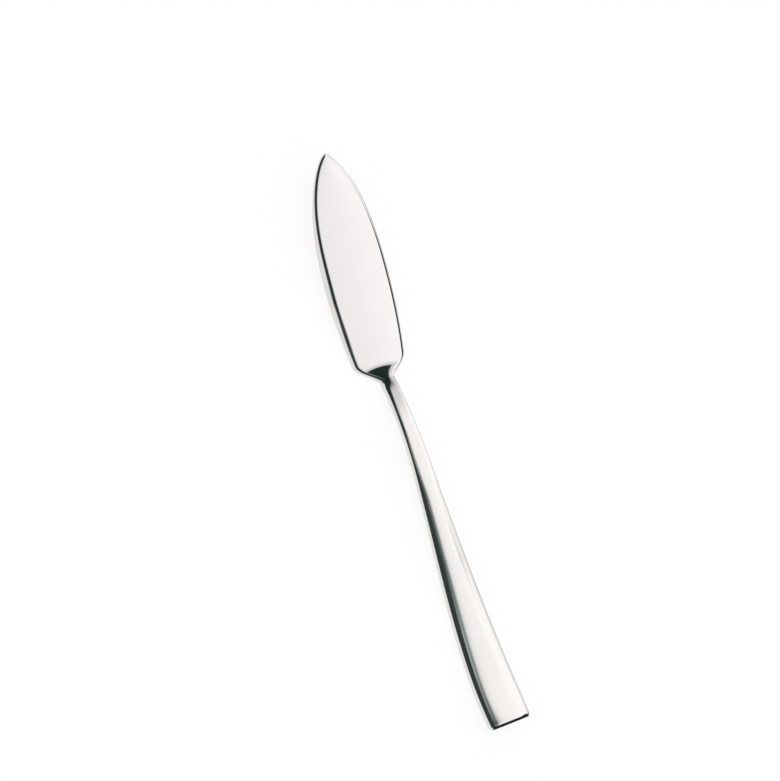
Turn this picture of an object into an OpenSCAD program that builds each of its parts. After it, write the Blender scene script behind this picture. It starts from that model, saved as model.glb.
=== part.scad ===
// Fish knife: a flat leaf-shaped blade with one bevelled edge, set low on an arched handle
// that widens to a square butt. X runs towards the tip, +Y is the bevelled edge, Z is up,
// and the knife rests on Z = 0 at the heel of the blade and at the sag of the handle.

/* [Overall] */
// Length from the butt to the tip
overall_l = 208.4; // [193:0.1:228]

/* [Blade] */
// Length from the tip to the fold where the blade meets the neck
blade_l = 75; // [68:0.5:82]
// Length from the tip to the widest place
belly_l = 45.6; // [37:0.1:53]
// Width at the widest place
blade_w = 27.2; // [20:0.1:32]
// Width at the corners of the heel
heel_w = 22.5; // [17:0.1:27]
// Length from the corners of the heel to the fold
heel_l = 1.4; // [0.5:0.1:5]
// Length of the shoulder on the bevelled side
shoulder_near_l = 8.9; // [6:0.1:10.5]
// Length of the shoulder on the plain side
shoulder_far_l = 6.9; // [5:0.1:10.5]
// Height of the tip above the fold
blade_rise = 10; // [5:0.1:15]
// Length to either side of the fold over which the upper side bends
fold_soft = 2.5; // [0.5:0.1:4]
// Thickness at the fold
fold_t = 1.7; // [1.4:0.05:2.4]
// Thickness at the widest place
belly_t = 2.4; // [1.8:0.05:3]
// Thickness at the tip
tip_t = 1.2; // [1:0.05:1.8]
// Slope of the bevel from the flat of the blade, in degrees
bevel_angle = 60; // [45:1:75]
// Radius that rounds the upper edges
edge_r = 1.3; // [0.6:0.05:1.8]
// Thickness left along the bevelled edge
edge_t = 0.25; // [0.15:0.05:0.5]
// Radius under the plain edge
back_r = 0.5; // [0.2:0.05:0.7]

/* [Neck] */
// Width at the narrowest place
neck_w = 6.2; // [5:0.1:9]
// Thickness at the narrowest place
neck_t = 2.6; // [2.2:0.05:3.4]
// Length from the fold to the narrowest place
neck_l = 9.5; // [7.5:0.5:14]
// Length from the narrowest place to the top of the arch
arch_l = 22; // [14:0.5:30]
// Height of the top of the arch above the table
crest_h = 5.95; // [4.5:0.05:9]

/* [Handle] */
// Width at the butt
butt_w = 18.6; // [14:0.1:24]
// Thickness from the sag to the butt
handle_t = 3.65; // [3:0.05:5]
// Length from the butt to the sag, where the handle touches the table
sag_l = 33; // [24:0.5:45]
// Height that the butt is turned up
butt_lift = 2.9; // [0:0.05:5]
// Radius of the lower edges
under_r = 0.9; // [0.3:0.05:1]
// Radius of the butt's corners seen from above
butt_corner_r = 2.4; // [0.4:0.05:3]
// Radius that rounds the butt's upper end edge
butt_round_r = 1.7; // [0.4:0.05:2]

/* [Hidden] */

// Stations along X, worked out from the lengths above
tip_x = overall_l / 2;
butt_x = -overall_l / 2;
fold_x = tip_x - blade_l;
belly_x = tip_x - belly_l;
heel_x = fold_x + heel_l;
neck_x = fold_x - neck_l;
crest_x = neck_x - arch_l;
sag_x = butt_x + sag_l;
// The underside touches the table at the fold, so the upper side falls there to the thickness
arch_drop = crest_h - fold_t;

// How square the cross-sections are, as exponents of a rounded rectangle: 2 is an ellipse
grip_power = 3;
neck_power = 5;
blade_power = 4;
// Exponents of the leaf outline from the belly to the tip, and of the butt's upward turn
leaf_power = 2.56;
leaf_root = 0.715;
turn_power = 2.5;
// Length that the leaf outline would run on past the tip, which is cut off there
tip_cut = 0.3;
// How strongly the rings close up towards the tip, as an exponent
tip_closing = 1.7;
// Exponents of the shoulders, below 1 for a corner that starts to round early
shoulder_near_power = 0.92;
shoulder_far_power = 0.71;
// Where the grip starts to turn squarer, as a share of the way from the sag to the crest
squaring_share = 0.7;

// Directions that the upper rounding is drawn at, in degrees above level
upper_angles = [90, 86, 81, 75, 68, 60, 50, 40, 27, 14, 0];
// Directions that the lower rounding is drawn at
lower_angles = [-22.5, -45, -67.5, -90];
// How many rings each stretch has
tip_rings = 13;
fold_rings = 1;
belly_rings = 12;
shoulder_rings = 19;
arch_rings = 14;
grip_rings = 26;
sag_rings = 14;
// Depths of the butt's last rings, as shares of its rounding
butt_shares = [1, 0.75, 0.5, 0.3, 0.15, 0.06, 0];

function clamp01(s) = max(0, min(1, s));
function mix(a, b, s) = a + (b - a) * s;
// A smooth step from 0 to 1 with level ends
function ease(s) = let (c = clamp01(s)) c * c * (3 - 2 * c);
function span(x, from, to) = (x - from) / (to - from);

// How much of the cross-section is blade: 0 in the handle and 1 past the heel
function blade_share(x) = ease(span(x, neck_x, heel_x));

// Half width of the leaf: a rounded point before the belly and a parabola behind it
function leaf_half_w(x) =
    x > belly_x
    ? blade_w / 2 * pow(1 - pow(span(x, belly_x, tip_x + tip_cut), leaf_power), leaf_root)
    : blade_w / 2 - (blade_w - heel_w) / 2 * pow(span(x, belly_x, heel_x), 2);

// Half width of the knife at x, with the shoulder's own length and power on either side
function half_w(x, shoulder_l, shoulder_power) =
    x > neck_x
    ? mix(neck_w / 2, leaf_half_w(x),
          ease(pow(clamp01(span(x, heel_x - shoulder_l, heel_x)), shoulder_power)))
    : mix(neck_w / 2, butt_w / 2, ease(span(x, neck_x, butt_x)));

// Height of the upper side: flat blade, falling arch, rising grip and turned-up butt
function top_h(x) =
    x > fold_x ? fold_t + blade_rise * span(x, fold_x, tip_x)
    : x > crest_x ? crest_h - arch_drop * pow(span(x, crest_x, fold_x), 2)
    : x > sag_x ? mix(handle_t, crest_h, ease(span(x, sag_x, crest_x)))
    : handle_t + butt_lift * pow(span(x, sag_x, butt_x), turn_power);

// Metal that fills the upper side of the fold, so that it bends softly from the arch to the blade
function fold_fill(x) =
    let (turn = blade_rise / blade_l + 2 * arch_drop / (fold_x - crest_x),
         inside = max(0, fold_soft - abs(x - fold_x)))
    turn * pow(inside, 2) / (4 * fold_soft);

// Thickness at x, eased from one named thickness to the next
function thickness(x) =
    x > belly_x ? mix(belly_t, tip_t, ease(span(x, belly_x, tip_x)))
    : x > fold_x ? mix(fold_t, belly_t, ease(span(x, fold_x, belly_x)))
    : x > neck_x ? mix(neck_t, fold_t, ease(span(x, neck_x, fold_x)))
    : mix(handle_t, neck_t, ease(span(x, sag_x, neck_x)));

function power_at(x) =
    let (squaring = ease(span(x, mix(sag_x, crest_x, squaring_share), crest_x)))
    mix(mix(grip_power, neck_power, squaring), blade_power, blade_share(x));

// A point of the rounded quarter, reach wide and rise high, where its surface faces up by angle
function quarter_point(angle, reach, rise, power) =
    angle > 89.9 ? [0, rise]
    : let (lead = pow(tan(angle) * rise / reach, 1 / (power - 1)),
           scale_down = pow(1 + pow(lead, power), -1 / power))
      [reach * scale_down, rise * lead * scale_down];

// One side of the section at x, from the middle of the top down to the underside.
// inset is taken off the width, and top and foot are the heights of both faces. Where the
// rounding and the bevel leave no flat, both are narrowed alike to meet in the middle.
function side_points(x, shoulder_l, shoulder_power, slope_run, low_r, inset, top, foot) =
    let (k = blade_share(x),
         half = half_w(x, shoulder_l, shoulder_power) - inset,
         low = min(mix(under_r, low_r, k), (top - foot) / 2, half / 2),
         rise = top - foot - low,
         wanted = mix(half, edge_r, k) + slope_run * k * rise,
         flat = max(0, half - wanted),
         fit_share = min(1, half / wanted),
         reach = mix(half, edge_r, k) * fit_share,
         lean = slope_run * k * fit_share)
    concat(
        [for (angle = upper_angles)
            let (q = quarter_point(angle, reach, rise, power_at(x)))
            [flat + q[0] + lean * (rise - q[1]), foot + low + q[1]]],
        [for (angle = lower_angles)
            [half - low + low * cos(angle), foot + low + low * sin(angle)]]);

// The closed ring of points round the knife at x
function ring(x, inset = 0, top_cut = 0, foot_cut = 0) =
    let (top = top_h(x) + fold_fill(x) - top_cut,
         foot = top_h(x) - thickness(x) + foot_cut,
         near = side_points(x, shoulder_near_l, shoulder_near_power, 1 / tan(bevel_angle),
                            edge_t, inset, top, foot),
         far = side_points(x, shoulder_far_l, shoulder_far_power, 0, back_r, inset, top, foot),
         n = len(near))
    concat([for (q = near) [x, q[0], q[1]]], [for (i = [1:n]) [x, -far[n - i][0], far[n - i][1]]]);

// How far a corner of radius r stands back at a depth from the end
function corner_inset(r, depth) = depth >= r ? 0 : r - sqrt(r * r - pow(r - depth, 2));

function butt_ring(depth) =
    ring(butt_x + depth, corner_inset(butt_corner_r, depth),
         corner_inset(butt_round_r, depth), corner_inset(under_r, depth));

// A closed skin over rings that all have the same number of points
module skin(rings) {
    n = len(rings[0]);
    last = len(rings) - 1;
    sides = [for (i = [0:last - 1]) for (j = [0:n - 1])
        let (a = i * n + j, b = i * n + (j + 1) % n)
        each [[a, b, b + n], [a, b + n, a + n]]];
    first_cap = [[for (j = [0:n - 1]) n - 1 - j]];
    last_cap = [[for (j = [0:n - 1]) last * n + j]];
    polyhedron(points = [for (r = rings) each r], faces = concat(sides, first_cap, last_cap));
}

// Evenly spaced places from one station up to but not including the next
function places(from, to, count) = [for (i = [0:count - 1]) mix(from, to, i / count)];

module blade() {
    // The rings close up towards the tip, where the outline turns fastest
    tip_places = [for (i = [0:tip_rings])
        mix(tip_x, belly_x, pow(1 - i / tip_rings, tip_closing))];
    color("gainsboro")
        skin([for (x = concat(places(neck_x, fold_x, shoulder_rings),
                              places(fold_x, fold_x + fold_soft, fold_rings),
                              places(fold_x + fold_soft, belly_x, belly_rings),
                              tip_places)) ring(x)]);
}

module handle() {
    butt_depth = max(butt_corner_r, butt_round_r, under_r);
    color("silver")
        skin(concat(
            [for (i = [1:len(butt_shares)]) butt_ring(butt_depth * butt_shares[len(butt_shares) - i])],
            [for (x = concat(places(butt_x + 2 * butt_depth, sag_x, sag_rings),
                             places(sag_x, crest_x, grip_rings),
                             places(crest_x, neck_x, arch_rings),
                             [neck_x])) ring(x)]));
}

blade();
handle();
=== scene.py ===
import math

import bpy
import numpy as np
from mathutils import Matrix


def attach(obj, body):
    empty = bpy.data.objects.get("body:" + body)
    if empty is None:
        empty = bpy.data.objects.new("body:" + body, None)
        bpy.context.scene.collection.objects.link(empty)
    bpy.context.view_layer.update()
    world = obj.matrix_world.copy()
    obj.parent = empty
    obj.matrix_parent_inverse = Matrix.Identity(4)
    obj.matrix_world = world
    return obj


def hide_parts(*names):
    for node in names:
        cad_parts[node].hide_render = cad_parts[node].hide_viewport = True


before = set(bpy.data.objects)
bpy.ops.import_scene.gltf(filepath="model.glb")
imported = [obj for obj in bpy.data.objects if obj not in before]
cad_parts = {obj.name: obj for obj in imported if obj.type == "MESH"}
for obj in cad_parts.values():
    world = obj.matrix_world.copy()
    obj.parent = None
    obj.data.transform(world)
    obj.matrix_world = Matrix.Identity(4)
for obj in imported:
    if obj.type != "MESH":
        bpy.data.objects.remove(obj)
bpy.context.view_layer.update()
print("frame loaded")

mm = 0.001

# places along the knife and sizes that both pieces share, in mm. X runs to the tip, +Y is the
# bevelled edge and the knife rests on Z = 0.
body = {
    "tipX": 104.2,
    "buttX": -104.2,
    "sagX": -71.2,
    "crestX": -2.3,
    "neckX": 19.7,
    "foldX": 29.2,
    "heelX": 30.6,
    "bellyX": 58.6,
    "neckWidth": 6.2,
    "neckThick": 2.6,
    "foldThick": 1.7,
    "leastHalf": 0.002,  # half width that is left where the outline closes at the tip
    "flatAngle": 80.0,  # where the flat becomes the rounded edge, in degrees above level
    "sideSteps": (20, 40, 10, 4),  # points over the flat, the edge, the lower edge and the underside
    "normalStep": 0.0001,  # step over which the outward direction is worked out
    "leastNormal": 1e-12,  # keeps the division safe where a step has no length
}

blade = {
    "width": 27.2,
    "heelWidth": 22.5,
    "shoulderNear": (8.9, 0.92),  # length and power of the turn
    "shoulderFar": (6.9, 0.71),
    "rise": 10.0,  # height of the tip above the fold
    "bellyThick": 2.4,
    "tipThick": 1.2,
    "leafPower": 2.56,  # power and root of the outline from the belly to the tip
    "leafRoot": 0.715,
    "bevelAngle": 64.0,  # in degrees from the flat
    "edgeReach": (1.45, 1.7),  # width of the rounding, bevelled edge and back
    "bevelStart": 7.0,  # how far from the neck the bevelled side has its full edge
    # places along X where the bevel is wider, over what length either way, and by how much
    "bevelWaves": ((42.0, 12.0, 0.33), (80.0, 20.0, -0.16), (23.0, 3.2, 0.5), (26.0, 5.0, 0.22)),
    "farTrim": (92.0, 96.0, 0.36),  # between which places the far side draws in, and how far
    "edgeLand": 0.25,  # radius under the bevelled edge
    "backRadius": 0.5,  # radius under the back
    "power": 3.2,  # how square the rounded edge is, 2 for an ellipse
    "foldSoftness": 1.7,  # length to either side over which the fold bends
    "crown": 0.2,  # how far the upper side sinks from the middle to its sides
    "rampCrown": 0.3,  # and how far more on the ramp
    "neckSteps": 90,
    "neckBeyond": 1.0,  # how far past the heel the close rings of the neck go
    "flatSteps": 90,
    "tipSteps": 110,
    "tipGap": 0.01,  # what the last ring leaves of the way to the tip
}

handle = {
    "width": 18.2,
    "thick": 3.65,
    "crestHeight": 5.95,
    "buttLift": 2.9,
    "turnPower": 2.5,  # how late the butt turns up
    "underRadius": 0.9,
    "cornerRadius": 1.0,  # of the butt's corners seen from above
    "endTaper": (0.8, 12.0),  # how much narrower the far side grows to the end, over what length
    "roundRadius": 1.7,  # of the butt's upper end edge
    "gripPower": 3.0,  # how square the rounded edge is on the grip and on the arch
    "archPower": 5.0,
    "squaringShare": 0.7,  # where between sag and crest the section starts to turn squarer
    "buttSquaring": (-45.0, 0.9),  # where it does so again towards the butt, and by how much
    "roundSteps": 24,
    "gripSteps": 330,
}


# smooth step from 0 to 1: 3 s^2 - 2 s^3
def ease(s):
    s = np.clip(s, 0, 1)
    return s * s * (3 - 2 * s)


# straight mix: a at 0 and b at 1
def mix(a, b, s):
    return a + (b - a) * s


# share of the way from start to end: (x - start) / (end - start)
def span(x, start, end):
    return (x - start) / (end - start)


# how much of the section is blade: 0 in the handle, eased to 1 past the heel
def bladeShare(x):
    return ease(span(x, body["neckX"], body["heelX"]))


# half width: (1 - s^power)^root over the share s from the belly to the tip, a parabola from
# the belly to the heel, eased over the shoulder to the neck, and eased from there to the butt
def halfWidth(x, shoulder):
    leaf = 1 - np.clip(span(x, body["bellyX"], body["tipX"]), 0, 1) ** blade["leafPower"]
    leaf = np.clip(leaf, 0, 1) ** blade["leafRoot"] * blade["width"] / 2
    waist = (blade["width"] - blade["heelWidth"]) / 2
    waist = waist * span(np.minimum(x, body["bellyX"]), body["bellyX"], body["heelX"]) ** 2
    length, power = shoulder
    turn = ease(np.clip(span(x, body["heelX"] - length, body["heelX"]), 0, 1) ** power)
    front = mix(body["neckWidth"] / 2, leaf - waist, turn)
    grip = ease(span(x, body["neckX"], body["buttX"]))
    back = mix(body["neckWidth"] / 2, handle["width"] / 2, grip)
    return np.where(x > body["neckX"], front, back)


# height of the upper side: a straight blade and a falling parabola that meet in a fold,
# an eased rise from the sag to the crest, and a power curve that lifts the butt
def topHeight(x):
    bladeLength = body["tipX"] - body["foldX"]
    line = body["foldThick"] + blade["rise"] * (x - body["foldX"]) / bladeLength
    drop = handle["crestHeight"] - body["foldThick"]
    arch = handle["crestHeight"] - drop * span(x, body["crestX"], body["foldX"]) ** 2
    front = np.where(x > body["foldX"], line, arch)
    climb = ease(span(x, body["sagX"], body["crestX"]))
    grip = mix(handle["thick"], handle["crestHeight"], climb)
    lift = np.clip(span(x, body["sagX"], body["buttX"]), 0, 1) ** handle["turnPower"]
    back = grip + handle["buttLift"] * lift
    return np.where(x > body["crestX"], front, back)


# metal that fills the upper side of the fold: turn * (soft - distance)^2 / (4 soft), where
# turn is the change of slope there, from the end of the arch's parabola to the blade's line
def foldFill(x):
    bladeLength = body["tipX"] - body["foldX"]
    drop = handle["crestHeight"] - body["foldThick"]
    turn = blade["rise"] / bladeLength + 2 * drop / (body["foldX"] - body["crestX"])
    inside = np.clip(blade["foldSoftness"] - np.abs(x - body["foldX"]), 0, None)
    return turn * inside ** 2 / (4 * blade["foldSoftness"])


# thickness: eased from each named thickness to the next
def thickness(x):
    tip = mix(blade["bellyThick"], blade["tipThick"], ease(span(x, body["bellyX"], body["tipX"])))
    flat = mix(body["foldThick"], blade["bellyThick"], ease(span(x, body["foldX"], body["bellyX"])))
    neck = mix(body["neckThick"], body["foldThick"], ease(span(x, body["neckX"], body["foldX"])))
    grip = mix(handle["thick"], body["neckThick"], ease(span(x, body["sagX"], body["neckX"])))
    places = [x > body["bellyX"], x > body["foldX"], x > body["neckX"]]
    return np.select(places, [tip, flat, neck], grip)


# how far a corner of radius r stands back at a depth from the end: r - sqrt(r^2 - (r - depth)^2)
def cornerInset(r, depth):
    reach = np.clip(r - depth, 0, r)
    return r - np.sqrt(r * r - reach * reach)


# x and its depth from the butt at v: 0 to 1 rolls round the butt's end edge as r (1 - cos), 1 to
# 2 is the handle, 2 to 3 runs from the neck to the belly, and 3 to 4 closes up on the tip by squares
def stationAt(v):
    r = max(handle["roundRadius"], handle["cornerRadius"])
    roll = r * (1 - np.cos(np.clip(v, 0, 1) * math.pi / 2))
    grip = mix(body["buttX"] + r, body["neckX"], v - 1)
    flat = mix(body["neckX"], body["bellyX"], v - 2)
    leaf = body["tipX"] - (body["tipX"] - body["bellyX"]) * (4 - v) ** 2
    x = np.select([v < 1, v < 2, v < 3], [body["buttX"] + roll, grip, flat], leaf)
    return x, x - body["buttX"]


# half width of one side less the butt's rounded corner. The far side also loses a taper at the
# end, as the square of the share that is left of its length, and an eased trim near the tip.
def halfAt(x, depth, side):
    shoulder = blade["shoulderNear"] if side > 0 else blade["shoulderFar"]
    half = halfWidth(x, shoulder) - cornerInset(handle["cornerRadius"], depth)
    if side < 0:
        taper, taperLength = handle["endTaper"]
        trimStart, trimFull, trim = blade["farTrim"]
        half = half - taper * np.clip(1 - depth / taperLength, 0, 1) ** 2
        half = half - trim * ease(span(x, trimStart, trimFull))
    return np.maximum(half, body["leastHalf"])


# width of the rounded edge, and how far it leans out for each mm down. The bevel leans by
# 1 / tan(angle) and by its waves / rise. Both shrink alike where they would leave no flat.
def edgeAt(x, k, half, rise, side):
    reach, lean = mix(half, blade["edgeReach"][1], k), 0
    if side > 0:
        share = ease(span(x, body["neckX"], body["neckX"] + blade["bevelStart"]))
        reach = mix(half, blade["edgeReach"][0], share)
        lean = share / math.tan(math.radians(blade["bevelAngle"]))
        for place, length, wider in blade["bevelWaves"]:
            lean = lean + wider * ease(1 - np.abs(x - place) / length) / rise
    fit = np.minimum(1, half / (reach + lean * rise))
    return reach * fit, lean * fit


# exponent of the rounded edge: eased from the grip's to the arch's, raised towards the butt,
# and mixed with the blade's by the share k of blade
def powerAt(x, k):
    squaring = mix(body["sagX"], body["crestX"], handle["squaringShare"])
    n = mix(handle["gripPower"], handle["archPower"], ease(span(x, squaring, body["crestX"])))
    squareStart, squareMore = handle["buttSquaring"]
    n = n + squareMore * ease(span(x, squareStart, body["buttX"]))
    return mix(n, blade["power"], k)


# one side of the section: a rounded quarter (y/reach)^n + (z/rise)^n = 1 that leans outwards
# by lean * (rise - z), then a quarter circle to the underside. The upper side sinks outwards
# by crown * (y/half)^2, where crown is the blade's own times its share k and the ramp's times
# 4 k (1 - k). t runs 0 to 1 over the flat, to 2 round the edge, to 3 round the lower edge and
# to 4 over the underside; side is 1 for the bevelled edge and -1 for the back.
def sidePoints(v, t, side):
    x, depth = stationAt(v)
    k = bladeShare(x)
    top = topHeight(x) + foldFill(x) - cornerInset(handle["roundRadius"], depth)
    foot = topHeight(x) - thickness(x) + cornerInset(handle["underRadius"], depth)
    half = halfAt(x, depth, side)
    lowRadius = blade["edgeLand"] if side > 0 else blade["backRadius"]
    low = mix(handle["underRadius"], lowRadius, k)
    low = np.minimum(low, np.minimum((top - foot) / 2, half / 2))
    rise = top - foot - low
    reach, lean = edgeAt(x, k, half, rise, side)
    n = powerAt(x, k)
    start = half - lean * rise - reach
    # over the flat, evenly in width
    flatLead = (np.tan(math.radians(body["flatAngle"])) * rise / reach) ** (1 / (n - 1))
    flatReach = reach * (1 + flatLead ** n) ** (-1 / n)
    w = np.clip(t, 0, 1) * (start + flatReach)
    flatY = np.clip(w - start, 0, None)
    flatZ = rise * (1 - (flatY / reach) ** n) ** (1 / n)
    flatY = np.minimum(w, start) + flatY
    # round the edge, evenly in the direction it faces
    angle = np.radians(body["flatAngle"]) * np.clip(2 - t, 0, 1)
    lead = (np.tan(angle) * rise / reach) ** (1 / (n - 1))
    down = (1 + lead ** n) ** (-1 / n)
    edgeY, edgeZ = start + reach * down, rise * lead * down
    upperY = np.where(t < 1, flatY, edgeY)
    upperZ = np.where(t < 1, flatZ, edgeZ)
    upperY = upperY + lean * (rise - upperZ)
    # the lower edge and the underside
    turn = np.clip(t - 2, 0, 1) * math.pi / 2
    lowY = half - low + low * np.cos(turn)
    lowZ = -low * np.sin(turn)
    underY = (half - low) * np.clip(4 - t, 0, 1)
    y = np.select([t <= 2, t < 3], [upperY, lowY], underY)
    z = np.where(t <= 2, upperZ, lowZ)
    crown = blade["crown"] * k + blade["rampCrown"] * 4 * k * (1 - k)
    z = z - crown * (y / half) ** 2 * np.clip(z / rise, 0, 1) + foot + low
    return np.stack([x + 0 * y, side * y, z], axis=-1)


# places and outward directions on one side: the cross product of small steps along v and t
def sideSurface(vs, ts, side):
    v, t = np.meshgrid(vs, ts, indexing="ij")
    step = body["normalStep"]
    along = sidePoints(v + step, t, side) - sidePoints(v - step, t, side)
    across = sidePoints(v, t + step, side) - sidePoints(v, t - step, side)
    out = np.cross(along, across) * side
    out /= np.maximum(np.linalg.norm(out, axis=-1, keepdims=True), body["leastNormal"])
    return sidePoints(v, t, side), out


# a closed skin over the rings at vs: quads between neighbouring rings and one face at each end
def skin(name, vs):
    counts = body["sideSteps"]
    ts = np.concatenate([i + np.arange(n) / n for i, n in enumerate(counts)] + [[4.0]])
    near, nearOut = sideSurface(vs, ts, 1)
    far, farOut = sideSurface(vs, ts, -1)
    points = np.concatenate([near, far[:, -2:0:-1]], axis=1) * mm
    outward = np.concatenate([nearOut, farOut[:, -2:0:-1]], axis=1)
    rings, n = points.shape[:2]
    i, j = np.meshgrid(np.arange(rings - 1), np.arange(n), indexing="ij")
    a, b = i * n + j, i * n + (j + 1) % n
    quads = np.stack([a, a + n, b + n, b], axis=-1).reshape(-1, 4)
    ends = [list(range(n)), list(range(rings * n - 1, (rings - 1) * n - 1, -1))]
    faces = quads.tolist() + ends
    mesh = bpy.data.meshes.new(name)
    mesh.from_pydata(points.reshape(-1, 3).tolist(), [], faces)
    mesh.polygons.foreach_set("use_smooth", [True] * len(faces))
    mesh.normals_split_custom_set_from_vertices(outward.reshape(-1, 3).tolist())
    piece = bpy.data.objects.new(name, mesh)
    bpy.context.scene.collection.objects.link(piece)
    return piece


# a node of this kind with its settings: a socket among the inputs is linked, a value is set
def addNode(tree, kind, inputs=None, **settings):
    node = tree.nodes.new(kind)
    for key, value in settings.items():
        setattr(node, key, value)
    for key, value in (inputs or {}).items():
        if isinstance(value, bpy.types.NodeSocket):
            tree.links.new(value, node.inputs[key])
        else:
            node.inputs[key].default_value = value
    return node


# a soft step: 0 up to start, 1 from end on, 3 s^2 - 2 s^3 between
def addSoftStep(tree, value, start, end):
    node = addNode(tree, "ShaderNodeMapRange", {
        "Value": value, "From Min": start, "From Max": end}, interpolation_type="SMOOTHSTEP")
    return node.outputs["Result"]


# one step of arithmetic on a and b, each a socket or a number
def addMath(tree, operation, a, b=0.0):
    return addNode(tree, "ShaderNodeMath", {0: a, 1: b}, operation=operation).outputs[0]


# 0 before start, 1 from full to fading and 0 again after gone: one soft step less another
def addWindow(tree, value, start, full, fading, gone):
    opened = addSoftStep(tree, value, start, full)
    closed = addSoftStep(tree, value, fading, gone)
    return addMath(tree, "SUBTRACT", opened, closed)


# colour a at factor 0 and b at 1, with a straight mix between
def addColorMix(tree, factor, a, b):
    node = addNode(tree, "ShaderNodeMix", data_type="RGBA")
    for socket, value in ((node.inputs[0], factor), (node.inputs[6], a), (node.inputs[7], b)):
        if isinstance(value, bpy.types.NodeSocket):
            tree.links.new(value, socket)
        else:
            socket.default_value = value if isinstance(value, float) else (*value, 1)
    return node.outputs[2]


# what the two kinds of steel look like, with lengths in metres
polish = {
    "bladeSteel": {
        "color": (0.872, 0.842, 0.842),
        "tint": (0.845, 0.822, 0.822),
        "roughness": (0.05, 0.09),  # at the two ends of the hair pattern
        "waveScale": 45.0,
        "hairHeight": 0.0000003,
    },
    "handleSteel": {
        "color": (0.892, 0.868, 0.858),
        "tint": (0.862, 0.842, 0.832),
        "roughness": (0.06, 0.11),
        "waveScale": 60.0,
        "hairHeight": 0.0000004,
    },
}

# what they have in common
finish = {
    "waveDetail": 3.0,
    "waveHeight": 0.00001,
    "hairScale": (60.0, 2600.0, 2600.0),
    "hairDetail": 4.0,
    "hairRange": (0.35, 0.65),  # values of the hair pattern that give the ends of the roughness
}


# mirror polish: broad soft waves and fine hair lines along X as bump, a tint that follows the
# waves and a roughness that follows the hair lines
def polishedSteel(name):
    values = polish[name]
    material = bpy.data.materials.new(name)
    material.use_nodes = True
    tree = material.node_tree
    steel = tree.nodes["Principled BSDF"]
    place = addNode(tree, "ShaderNodeTexCoord").outputs["Object"]
    cloud = addNode(tree, "ShaderNodeTexNoise", {
        "Vector": place, "Scale": values["waveScale"], "Detail": finish["waveDetail"]})
    stretched = addNode(tree, "ShaderNodeMapping", {"Vector": place, "Scale": finish["hairScale"]})
    hair = addNode(tree, "ShaderNodeTexNoise", {
        "Vector": stretched.outputs[0], "Scale": 1.0, "Detail": finish["hairDetail"]})
    tint = addColorMix(tree, cloud.outputs["Fac"], values["color"], values["tint"])
    rough = addNode(tree, "ShaderNodeMapRange", {
        "Value": hair.outputs["Fac"],
        "From Min": finish["hairRange"][0], "From Max": finish["hairRange"][1],
        "To Min": values["roughness"][0], "To Max": values["roughness"][1]})
    waves = addNode(tree, "ShaderNodeBump", {
        "Height": cloud.outputs["Fac"], "Distance": finish["waveHeight"]})
    lines = addNode(tree, "ShaderNodeBump", {
        "Height": hair.outputs["Fac"], "Distance": values["hairHeight"],
        "Normal": waves.outputs["Normal"]})
    tree.links.new(tint, steel.inputs["Base Color"])
    tree.links.new(rough.outputs["Result"], steel.inputs["Roughness"])
    tree.links.new(lines.outputs["Normal"], steel.inputs["Normal"])
    steel.inputs["Metallic"].default_value = 1.0
    return material


# rings round the butt's end edge, then evenly spaced ones to the neck
gripRings = np.concatenate([
    np.arange(handle["roundSteps"]) / handle["roundSteps"],
    np.linspace(1, 2, handle["gripSteps"])])
handlePiece = skin("handlePiece", gripRings)
handlePiece.data.materials.append(polishedSteel("handleSteel"))
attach(handlePiece, "root")
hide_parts("handle")
print("handle made:", len(handlePiece.data.polygons), "faces")

# rings from the neck to the tip: close ones to just past the heel, wider ones to the belly, and
# then closing up on the tip by equal ratios
shoulderPlace = body["heelX"] + blade["neckBeyond"]
shoulderEnd = 2 + float(span(shoulderPlace, body["neckX"], body["bellyX"]))
bladeRings = np.concatenate([
    np.linspace(2, shoulderEnd, blade["neckSteps"], endpoint=False),
    np.linspace(shoulderEnd, 3, blade["flatSteps"], endpoint=False),
    4 - np.geomspace(1, blade["tipGap"], blade["tipSteps"])])
bladePiece = skin("bladePiece", bladeRings)
bladePiece.data.materials.append(polishedSteel("bladeSteel"))
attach(bladePiece, "root")
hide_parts("blade")
print("blade made:", len(bladePiece.data.polygons), "faces")

halfTurn = 180.0  # in degrees

# the room that the polished steel mirrors. Its angles go over the knife in degrees, from the far
# side at 0 to the near side at 180, and its ends say how much of a direction runs along X.
studio = {
    "dark": (0.010, 0.024, 0.021),
    "streak": (0.42, 0.45, 0.43),
    "panel": (1.0, 1.0, 0.99),
    "table": (0.86, 0.87, 0.86),
    # angle and brightness
    "bands": (
        (0, 0.86), (6, 0.77), (15, 0.77), (20, 0.92), (27, 1.05), (36, 1.10), (45, 1.11),
        (48, 1.11), (51, 1.10), (53, 1.06), (55, 1.01), (58, 0.97), (62, 0.90), (65, 0.83), (67, 0.74),
        (70, 0.45), (73, 0.28), (77, 0.19), (82, 0.11), (88, 0.065), (96, 0.045), (130, 0.040)),
    "shade": (0.78, 1.05, 1.0),  # colour of the dark half of the room
    "shadeBand": (66, 77),
    "panelEnd": (0.33, 0.42),  # towards the butt
    "streakBand": (76, 80, 84, 93),
    "streakEnds": (-0.10, -0.01, 0.18, 0.36),  # towards the tip
    "tableBand": (168, 188),
    "tableSpread": 187.0,  # how many degrees further up it reaches for a full turn to the butt
    "tableLimit": 0.23,  # the share of that turn where it stops reaching further
    "farLine": (17, 23, 45, 49),
    "farEdge": (0.08, 0.13),  # towards the butt
}


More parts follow.
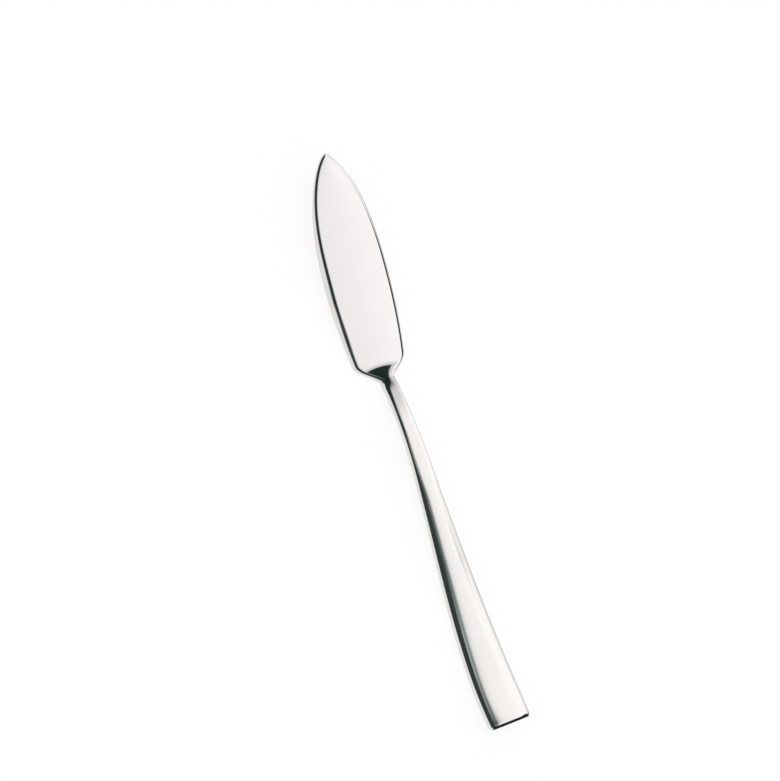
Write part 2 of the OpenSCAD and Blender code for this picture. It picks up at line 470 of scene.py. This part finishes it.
# a flat sheet over four corners with a bare material: the sheet, its node tree and its axes
def addSheet(name, corners, materialName):
    mesh = bpy.data.meshes.new(name)
    mesh.from_pydata(corners, [], [(0, 1, 2, 3)])
    sheet = bpy.data.objects.new(name, mesh)
    bpy.context.scene.collection.objects.link(sheet)
    material = bpy.data.materials.new(materialName)
    material.use_nodes = True
    mesh.materials.append(material)
    tree = material.node_tree
    tree.nodes.clear()
    place = addNode(tree, "ShaderNodeTexCoord").outputs["Object"]
    axes = addNode(tree, "ShaderNodeSeparateXYZ", {0: place}).outputs
    return sheet, tree, axes


# the floor, in metres, and the cards that polished metal sees lying on it
tableTop = {
    "size": 6.0,
    "shadow": 0.15,  # how much of the object's shadow the camera sees
    "behind": (0.006, 0.012),  # how far behind the middle line of the knife the far card begins
    "greyToDark": (0.0, 0.045),  # where along X that card turns from grey to dark
    "grey": (0.62, 0.64, 0.63),
    "dark": (0.04, 0.05, 0.05),
    "beyond": (0.100, 0.104),  # how far towards the butt the end card begins
    "beyondSide": (-0.008, 0.0),  # how far behind the middle line that card begins and is full
}


# a white table that keeps part of the shadow for the camera: a mix of plain white paint and
# white light. Polished metal sees a far card and an end card on it, by soft steps along X and Y.
def makeFloor():
    half = tableTop["size"] / 2
    corners = [(-half, -half, 0), (half, -half, 0), (half, half, 0), (-half, half, 0)]
    floor, tree, axes = addSheet("floor", corners, "paleTable")
    behind = addMath(tree, "MULTIPLY", axes["Y"], -1.0)
    toButt = addMath(tree, "MULTIPLY", axes["X"], -1.0)
    turned = addSoftStep(tree, axes["X"], *tableTop["greyToDark"])
    farCard = addColorMix(tree, turned, tableTop["grey"], tableTop["dark"])
    onFarCard = addSoftStep(tree, behind, *tableTop["behind"])
    mirrored = addColorMix(tree, onFarCard, studio["table"], farCard)
    onEndCard = addMath(
        tree, "MULTIPLY", addSoftStep(tree, toButt, *tableTop["beyond"]),
        addSoftStep(tree, behind, *tableTop["beyondSide"]))
    mirrored = addColorMix(tree, onEndCard, mirrored, studio["dark"])
    path = addNode(tree, "ShaderNodeLightPath").outputs
    plain = addNode(tree, "ShaderNodeBsdfDiffuse", {"Color": (1, 1, 1, 1)}).outputs[0]
    white = addNode(tree, "ShaderNodeEmission", {"Color": (1, 1, 1, 1), "Strength": 1.0}).outputs[0]
    cards = addNode(tree, "ShaderNodeEmission", {"Color": mirrored, "Strength": 1.0}).outputs[0]
    lift = addMath(tree, "MULTIPLY", path["Is Camera Ray"], 1 - tableTop["shadow"])
    shown = addNode(tree, "ShaderNodeMixShader", {0: lift, 1: plain, 2: white}).outputs[0]
    shown = addNode(tree, "ShaderNodeMixShader", {0: path["Is Glossy Ray"], 1: shown, 2: cards})
    addNode(tree, "ShaderNodeOutputMaterial", {"Surface": shown.outputs[0]})


# a card that only polished metal sees: a mix of nothing and its colour, by its cover
def makeCard(name, corners, color, coverOf):
    standing, tree, axes = addSheet(name, corners, name + "Paper")
    paper = addNode(tree, "ShaderNodeEmission", {"Color": (*color, 1), "Strength": 1.0}).outputs[0]
    clear = addNode(tree, "ShaderNodeBsdfTransparent").outputs[0]
    shown = addNode(tree, "ShaderNodeMixShader", {0: coverOf(tree, axes), 1: clear, 2: paper})
    addNode(tree, "ShaderNodeOutputMaterial", {"Surface": shown.outputs[0]})
    standing.visible_camera = standing.visible_diffuse = standing.visible_shadow = False
    standing.visible_transmission = False


# a dark card on the far side, off the tip, in metres. To the right is along X, as for each card.
darkCard = {
    "distance": 0.6,
    "veil": (0.14, 0.32, 0.33),  # where the thin part begins and is full, and how much it hides
    "edge": (0.335, 0.385),
    "slant": (1.5, 0.3),  # above this height its edge leans to the right, by this much a metre
    "lowEdge": (0.50, 0.56),  # under it only the thin part is left
    "low": 0.1,
    "right": 4.0,
    "top": 8.0,
}


# cover of the dark card: a thin part, and the rest right of its edge and above its lower edge.
# Above the height where the edge starts to lean, x - slant * (z - start) is set against it.
def darkCover(tree, axes):
    veilStart, veilFull, veil = darkCard["veil"]
    thin = addMath(tree, "MULTIPLY", addSoftStep(tree, axes["X"], veilStart, veilFull), veil)
    slantStart, slant = darkCard["slant"]
    above = addMath(tree, "MAXIMUM", addMath(tree, "SUBTRACT", axes["Z"], slantStart), 0.0)
    inside = addMath(tree, "SUBTRACT", axes["X"], addMath(tree, "MULTIPLY", above, slant))
    solid = addMath(tree, "MULTIPLY", addSoftStep(tree, inside, *darkCard["edge"]), 1 - veil)
    solid = addMath(tree, "MULTIPLY", solid, addSoftStep(tree, axes["Z"], *darkCard["lowEdge"]))
    return addMath(tree, "ADD", thin, solid)


# a small pale card on the near side of the tip, in metres
paleCard = {
    "distance": 0.12,
    "edge": (0.02, 0.05),
    "topEdge": (0.075, 0.13),
    "right": 0.5,
}


# cover of the pale card: full right of its edge and below its top edge, by two soft steps
def paleCover(tree, axes):
    below = addMath(tree, "SUBTRACT", 1.0, addSoftStep(tree, axes["Z"], *paleCard["topEdge"]))
    return addMath(tree, "MULTIPLY", addSoftStep(tree, axes["X"], *paleCard["edge"]), below)


# a dark card that hangs level over the neck and the blade, in metres
hood = {
    "height": 0.15,
    "edge": (0.0, 0.025),
    "right": 0.3,
    "sides": (-0.025, 0.04),
}


# cover of the hood: full right of its edge, by one soft step
def hoodCover(tree, axes):
    return addSoftStep(tree, axes["X"], *hood["edge"])


# corners of an upright card that stands along X at y
def uprightCorners(left, right, low, top, y):
    return [(left, y, low), (right, y, low), (right, y, top), (left, y, top)]


# the dark card upright on the far side, the pale one upright on the near side, and the hood level
def makeCards():
    dark = uprightCorners(
        darkCard["veil"][0], darkCard["right"], darkCard["low"], darkCard["top"], -darkCard["distance"])
    makeCard("darkCard", dark, studio["dark"], darkCover)
    pale = uprightCorners(
        paleCard["edge"][0], paleCard["right"], 0.0, paleCard["topEdge"][1], paleCard["distance"])
    makeCard("paleCard", pale, studio["table"], paleCover)
    left, right, height = hood["edge"][0], hood["right"], hood["height"]
    far, near = hood["sides"]
    level = [(left, far, height), (right, far, height), (right, near, height), (left, near, height)]
    makeCard("hoodCard", level, studio["dark"], hoodCover)


# the world: white for the camera and for plain light, and for polished metal a studio of one
# soft panel on the far side, a faint streak overhead, darkness elsewhere and the pale table.
# The angle over the knife is atan2(z, -y), and each part is laid over the ones before it.
def makeStudio():
    world = bpy.data.worlds.new("studio")
    bpy.context.scene.world = world
    world.use_nodes = True
    tree = world.node_tree
    tree.nodes.clear()
    direction = addNode(tree, "ShaderNodeTexCoord").outputs["Generated"]
    x, y, z = addNode(tree, "ShaderNodeSeparateXYZ", {0: direction}).outputs
    toButt = addMath(tree, "MULTIPLY", x, -1.0)
    angle = addMath(tree, "ARCTAN2", z, addMath(tree, "MULTIPLY", y, -1.0))
    angle = addMath(tree, "MULTIPLY", angle, halfTurn / math.pi)
    ramp = addNode(tree, "ShaderNodeValToRGB", {"Fac": addMath(tree, "DIVIDE", angle, halfTurn)})
    stops = ramp.color_ramp.elements
    while len(stops) < len(studio["bands"]):
        stops.new(1.0)  # gets its place below
    for stop, (place, level) in zip(stops, studio["bands"]):
        stop.position = place / halfTurn
        stop.color = (level, level, level, 1)
    shaded = addSoftStep(tree, angle, *studio["shadeBand"])
    tint = addColorMix(tree, shaded, studio["panel"], studio["shade"])
    tinted = {0: ramp.outputs["Color"], 1: tint}
    color = addNode(tree, "ShaderNodeVectorMath", tinted, operation="MULTIPLY").outputs[0]
    # the streak overhead, which ends soon to either side along X
    streak = addMath(
        tree, "MULTIPLY", addWindow(tree, angle, *studio["streakBand"]),
        addWindow(tree, x, *studio["streakEnds"]))
    color = addColorMix(tree, streak, color, studio["streak"])
    # a dark part low on the far side, which the far edge of the blade shows as a thin line
    farEdge = addSoftStep(tree, toButt, *studio["farEdge"])
    line = addMath(tree, "MULTIPLY", addWindow(tree, angle, *studio["farLine"]), farEdge)
    color = addColorMix(tree, line, color, studio["dark"])
    # the panel ends towards the butt
    color = addColorMix(tree, addSoftStep(tree, toButt, *studio["panelEnd"]), color, studio["dark"])
    # the pale table on the near side
    spread = addMath(tree, "MINIMUM", addMath(tree, "MAXIMUM", toButt, 0.0), studio["tableLimit"])
    spread = addMath(tree, "MULTIPLY", spread, studio["tableSpread"])
    onTable = addSoftStep(tree, addMath(tree, "ADD", angle, spread), *studio["tableBand"])
    color = addColorMix(tree, onTable, color, studio["table"])
    path = addNode(tree, "ShaderNodeLightPath").outputs
    seen = addColorMix(tree, path["Is Glossy Ray"], (1.0, 1.0, 1.0), color)
    light = addNode(tree, "ShaderNodeBackground", {"Color": seen, "Strength": 1.0})
    addNode(tree, "ShaderNodeOutputWorld", {"Surface": light.outputs[0]})


makeFloor()
makeCards()
makeStudio()
print("floor and studio made")

# camera: direction to it, distance and turn about its own axis, from the photograph's outline
shot = {
    "azimuth": -0.38,
    "elevation": 55.0,
    "distance": 1.5,
    "roll": 70.486,
    "focal": 4294.5,  # in pixels
    "target": (0.00171, 0.0, 0.0),
    "centre": (404.31, 438.58),  # pixel that shows the target
    "frame": (780, 781),
    "sensor": 36.0,
    "clip": (0.01, 20.0),
}


# back is (cos e sin a, cos e cos a, sin e) for elevation e and azimuth a, and right and up are
# turned about it by the roll. lens = focal * sensor / height, and the shift moves the target
# to its pixel.
def makeCamera():
    azimuth, elevation, roll = (math.radians(shot[key]) for key in ("azimuth", "elevation", "roll"))
    back = np.array([
        math.cos(elevation) * math.sin(azimuth),
        math.cos(elevation) * math.cos(azimuth),
        math.sin(elevation)])
    right = np.cross(-back, (0, 0, 1))
    right /= np.linalg.norm(right)
    up = np.cross(right, -back)
    turnedRight = math.cos(roll) * right + math.sin(roll) * up
    turnedUp = -math.sin(roll) * right + math.cos(roll) * up
    data = bpy.data.cameras.new("camera")
    camera = bpy.data.objects.new("camera", data)
    bpy.context.scene.collection.objects.link(camera)
    matrix = np.eye(4)
    matrix[:3, 0], matrix[:3, 1], matrix[:3, 2] = turnedRight, turnedUp, back
    matrix[:3, 3] = back * shot["distance"] + shot["target"]
    camera.matrix_world = Matrix(matrix.tolist())
    width, height = shot["frame"]
    data.sensor_width = shot["sensor"]
    data.lens = shot["focal"] * shot["sensor"] / height
    data.shift_x = (width / 2 - shot["centre"][0]) / height
    data.shift_y = (shot["centre"][1] - height / 2) / height
    data.clip_start, data.clip_end = shot["clip"]
    bpy.context.scene.camera = camera


makeCamera()
bpy.context.scene.view_settings.view_transform = "Standard"
print("camera set")
